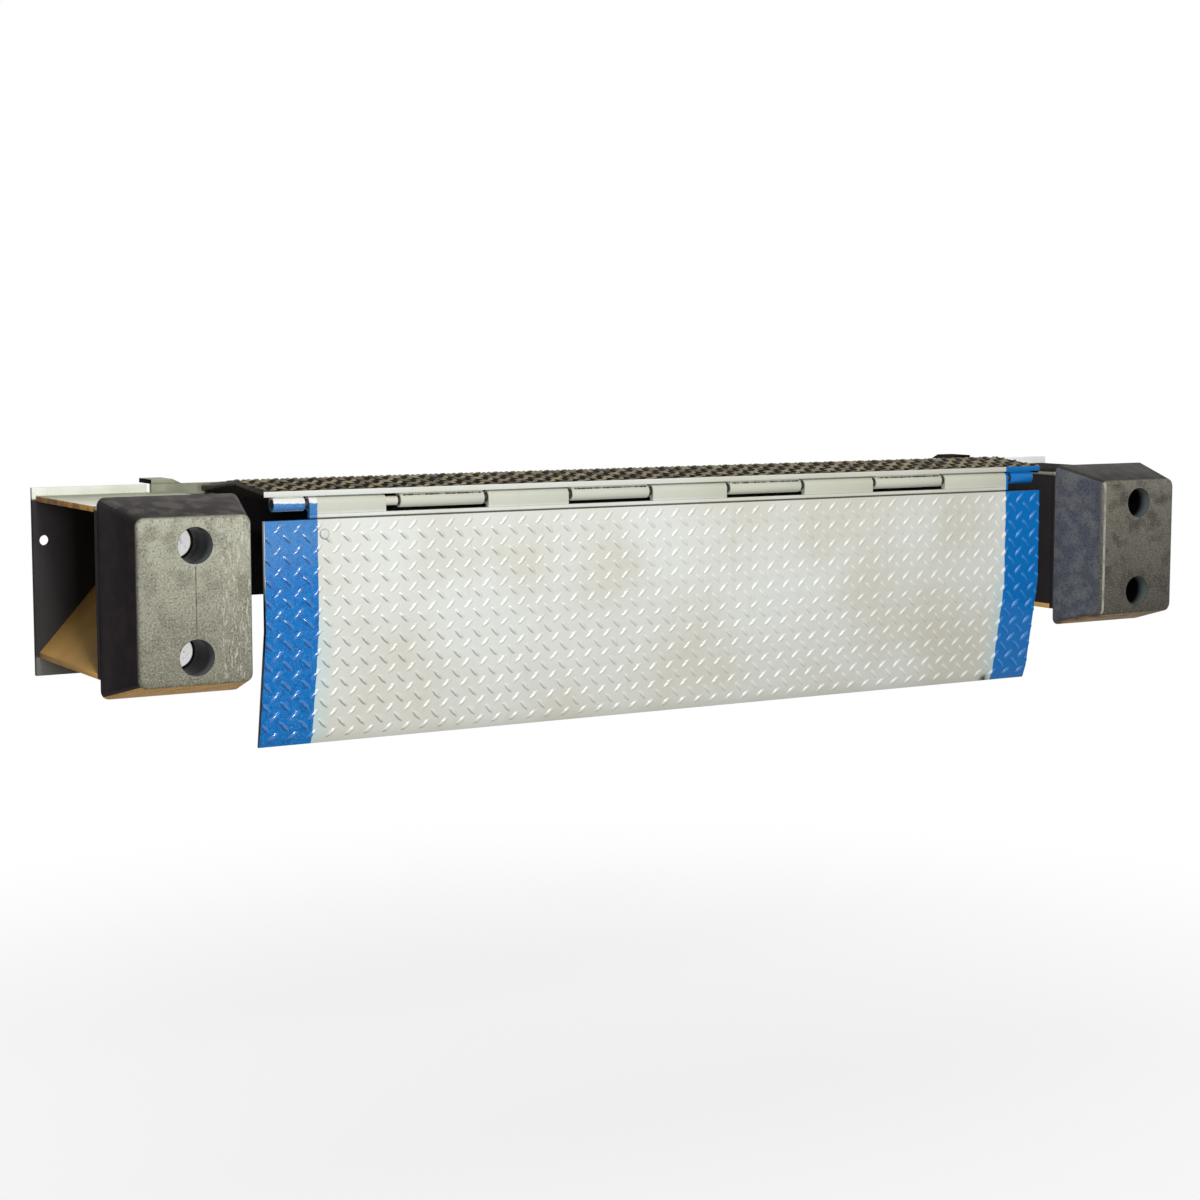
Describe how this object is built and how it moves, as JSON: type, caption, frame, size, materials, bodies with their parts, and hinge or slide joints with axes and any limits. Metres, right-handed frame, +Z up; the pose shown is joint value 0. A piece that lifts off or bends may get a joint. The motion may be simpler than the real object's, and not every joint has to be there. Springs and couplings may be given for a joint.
{
  "type": "edge-of-dock leveler",
  "caption": "Edge-of-dock leveler: crowned tread-plate deck hinged to a curb plate, a hinged hanging lip on a knuckle hinge, and a boxed rubber bumper at each side.",
  "frame": {"origin": "centre of the curb plate's rear face, on the dock wall", "axes": "+X to the right seen from the approach, +Y into the dock wall, +Z up"},
  "size_m": [2.258, 0.485, 0.4453],
  "materials": {
    "grey_steel": "pale grey, satin",
    "silver_paint": "silver grey, semi-gloss",
    "blue_paint": "blue, semi-gloss",
    "bare_steel": "plain",
    "black_rubber": "moulded, matt"
  },
  "bodies": {
    "frame": {"curb_plate": "grey_steel", "rear_frame_knuckles": "grey_steel", "rear_hinge_pin": "bare_steel", "left_back_plate": "grey_steel", "left_box_top": "grey_steel", "left_box_bottom": "grey_steel", "left_box_web": "grey_steel", "left_box_diagonal": "grey_steel", "left_box_front": "grey_steel", "left_bumper": "black_rubber", "left_upper_bolt": "bare_steel", "left_lower_bolt": "bare_steel", "left_floor_tab": "grey_steel", "right_back_plate": "grey_steel", "right_box_top": "grey_steel", "right_box_bottom": "grey_steel", "right_box_web": "grey_steel", "right_box_diagonal": "grey_steel", "right_box_front": "grey_steel", "right_bumper": "black_rubber", "right_upper_bolt": "bare_steel", "right_lower_bolt": "bare_steel", "right_floor_tab": "grey_steel"},
    "deck": {"deck_plate": "silver_paint", "deck_left_side_bar": "silver_paint", "deck_right_side_bar": "silver_paint", "deck_ribs": "silver_paint", "deck_rear_knuckles": "silver_paint", "deck_left_end_knuckle": "blue_paint", "deck_knuckle_1": "silver_paint", "deck_knuckle_2": "silver_paint", "deck_knuckle_3": "silver_paint", "deck_knuckle_4": "silver_paint", "deck_right_end_knuckle": "blue_paint", "lip_hinge_pin": "bare_steel"},
    "lip": {"lip_plate": "silver_paint", "lip_bar": "silver_paint", "lip_knuckle_1": "silver_paint", "lip_knuckle_2": "silver_paint", "lip_knuckle_3": "silver_paint", "lip_knuckle_4": "silver_paint", "lip_knuckle_5": "silver_paint"}
  },
  "joints": [
    {"name": "deck_hinge", "type": "hinge", "parent": "frame", "child": "deck", "pos_m": [0, -0.0245, 0.0865], "axis": [-1, 0, 0], "range_deg": [-9, 50]},
    {"name": "lip_hinge", "type": "hinge", "parent": "deck", "child": "lip", "pos_m": [0, -0.309, 0.0797], "axis": [-1, 0, 0], "range_deg": [0, 90]}
  ]
}
